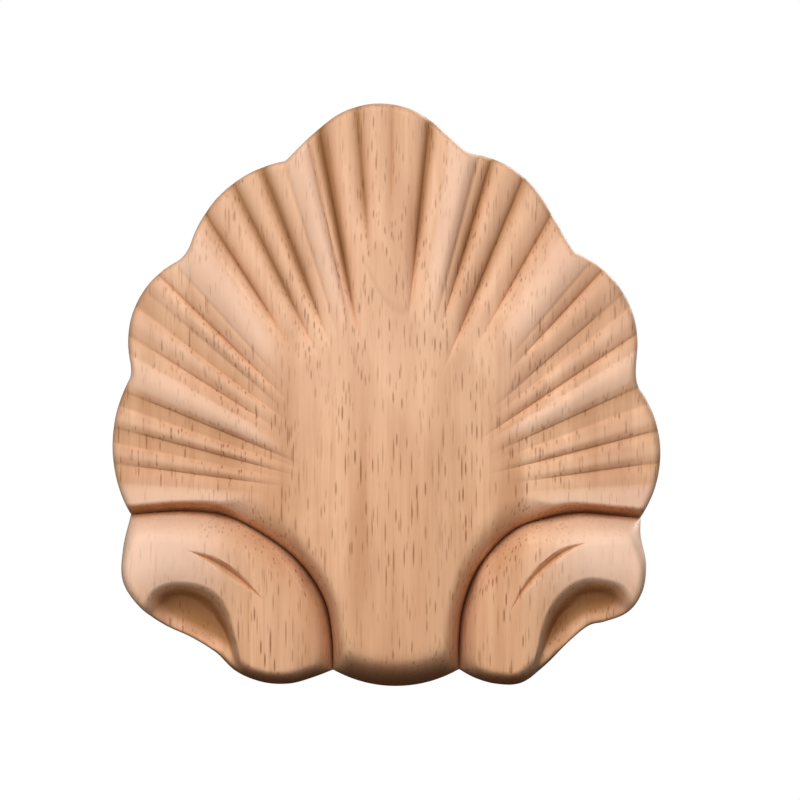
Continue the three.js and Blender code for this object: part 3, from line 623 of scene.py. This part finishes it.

# One growth line that the cut lays bare as a small arch, point down, above the middle. It, and
# the painted shade and highlights, fade out below the rim, so the edge and the back stay plain.
ARCH_X, ARCH_Z = 2.8, 13.4
arch_x, arch_z = axis_x * MM_PER_METRE - ARCH_X, axis_z * MM_PER_METRE - ARCH_Z
off_arch = arch_z - arch_x * arch_x * (arch_x.between(-0.1, 0.1) * 1.1 + 0.2)
arch = off_arch.between(-1.0, 0.0) * off_arch.between(1.6, 0.0)
arch = arch * arch_x.between(-8.0, -5.5) * arch_x.between(2.6, 1.4)
carved = axis_y.between(-0.001, -0.004)
colour = blend_colours(arch * carved * 0.42, colour, END_GRAIN)


def pores(x, y, z, shift, cover, size):
    """Long thin cells, of which a share holds a pore, each with a depth of its own."""
    cell = place.node("ShaderNodeTexVoronoi", {"feature": "F1"},
                      {"Vector": stretched(x, y, z, shift), "Scale": 1.0, "Randomness": 1.0})
    picked = place.node("ShaderNodeSeparateColor", None, {"Color": cell.other_output("Color")})
    strength = picked.other_output("Green") * 0.7 + 0.3
    return cell.between(size, size * 0.4) * picked.between(1 - cover, 1.001 - cover) * strength


crowd = noise(stretched(6, 7, 22, 5.0), 2.0).between(0.34, 0.60) * 0.55 + 0.45
long_pores = pores(0.58, 0.8, 9.0, 0.0, 0.62, 0.35)
short_pores = pores(0.54, 0.8, 4.5, 11.0, 0.62, 0.36)
pore = long_pores.maths("MAXIMUM", long_pores, short_pores) * crowd
colour = blend_colours(pore * 0.86, colour, PORE)

# The board is a little paler toward its top and browner low in the middle, partly as wood tone
# and partly as painted light from above; the two lower corners, on the scroll tops, get a pale
# pink painted highlight, and the ridges between the flutes a paler painted highlight
across = axis_x.maths("ABSOLUTE", axis_x)
colour = blend_colours(axis_z.between(-0.020, 0.012) * 0.2, colour, PALE_PINK_AND_PAINTED_HIGHLIGHT)
low_middle_tone_and_shade = axis_z.between(-0.012, -0.036) * across.between(0.014, 0.009)
colour = blend_colours(low_middle_tone_and_shade * 0.28, colour, WOOD_TAN)
painted_corner_highlight = across.between(0.020, 0.035) * axis_z.between(-0.012, -0.024)
painted_corner_highlight = painted_corner_highlight * axis_z.between(-0.038, -0.027) * carved
painted_shading = place.node("ShaderNodeAttribute", {"attribute_name": "painted_shading"}, output="Fac")
painted_shading = painted_shading * carved
# Painted highlight: the scroll tops at the lower corners are painted paler and pinker
colour = blend_colours(painted_corner_highlight * painted_shading.between(0.5, 0.0) * 0.8, colour, PALE_PINK_AND_PAINTED_HIGHLIGHT)
# Painted highlight: the ridges between the flutes are painted paler
colour = blend_colours(painted_shading.between(0.0, -0.6) * 0.45, colour, PALE_PINK_AND_PAINTED_HIGHLIGHT)

# Painted shade: the cuts, creases and hollows are painted brown, their deepest parts darker still
colour = blend_colours(painted_shading.between(0.2, 1.6) * 0.75, colour, CUT_PAINTED_SHADE)
colour = blend_colours(painted_shading.between(1.5, 2.8) * 0.7, colour, DARK_PAINTED_SHADE)

# End grain where the surface faces up, and painted shade on the underside along the foot, where it
# faces down
normal = place.node("ShaderNodeTexCoord", output="Normal")
facing_up = place.node("ShaderNodeSeparateXYZ", None, {"Vector": normal}, "Z")
colour = blend_colours(facing_up.between(0.5, 1.0) * 0.25, colour, END_GRAIN)
painted_underside_shade = facing_up.between(-0.3, -1.0) * axis_z.between(-0.030, -0.040)
colour = blend_colours(painted_underside_shade * painted_shading.between(0.9, 0.2) * 0.95, colour, DARK_PAINTED_SHADE)

roughness = 0.42 + fibre * 0.16 + pore * 0.2
relief = 0.5 + fibre * 0.2 + streak * 0.15 - pore * 0.9
bump = place.node("ShaderNodeBump", None,
                  {"Strength": 0.35, "Distance": 0.0002, "Height": relief})
for socket, wire in (("Base Color", colour), ("Roughness", roughness), ("Normal", bump)):
    wood.node_tree.links.new(wire.socket, surface_node.inputs[socket])
surface_node.inputs["Specular IOR Level"].default_value = 0.05

shell.data.materials.clear()
shell.data.materials.append(wood)
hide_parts("shell_applique")
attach(shell, "root")


# The stage: a pale floor far below the shell, which hangs in the air as on a clear wall. A
# soft light stands above and in front, a second in front and one behind. The room is white to
# the camera, and lights the shell only a little.
bpy.ops.object.select_all(action="DESELECT")
bpy.ops.mesh.primitive_plane_add(size=1.6, location=(0, 0, -1.2))
floor = bpy.context.object
floor.name = "pale_floor"
pale = bpy.data.materials.new("pale paper")
pale.use_nodes = True
pale.node_tree.nodes["Principled BSDF"].inputs["Base Color"].default_value = (0.86, 0.86, 0.85, 1)
pale.node_tree.nodes["Principled BSDF"].inputs["Roughness"].default_value = 0.8
floor.data.materials.append(pale)


def aim_at(thing, target):
    thing.rotation_euler = (Vector(target) - thing.location).to_track_quat("-Z", "Y").to_euler()


def area_light(name, location, size, power):
    bpy.ops.object.light_add(type="AREA", location=location)
    light = bpy.context.object
    light.name, light.data.size, light.data.energy = name, size, power
    aim_at(light, (0, 0, 0))


area_light("key_light", (-0.15, -0.95, 0.75), 1.2, 11.8)
area_light("front_light", (-0.15, -1.40, 0.40), 1.1, 13.0)
area_light("back_light", (0.7, 1.1, 0.7), 0.6, 24.0)

world = bpy.data.worlds.new("white room")
bpy.context.scene.world = world
world.use_nodes = True
room = world.node_tree.nodes["Background"]
room.inputs["Color"].default_value = (1, 1, 1, 1)
ROOM_LIGHT = 0.03
seen = Wire(world.node_tree, None).node("ShaderNodeLightPath", output="Is Camera Ray")
strength = seen * (1 - ROOM_LIGHT) + ROOM_LIGHT
world.node_tree.links.new(strength.socket, room.inputs["Strength"])
bpy.context.scene.view_settings.view_transform = "Standard"

# The camera stands a metre off, straight in front, as the photograph was taken
CAMERA_PLACE = (0.00211, -1.0057, -0.00089)
CAMERA_LENS, CAMERA_SENSOR = 277, 36
bpy.ops.object.camera_add(location=CAMERA_PLACE, rotation=(math.pi / 2, 0, 0))
camera = bpy.context.object
camera.data.lens = CAMERA_LENS
camera.data.sensor_width = CAMERA_SENSOR
bpy.context.scene.camera = camera
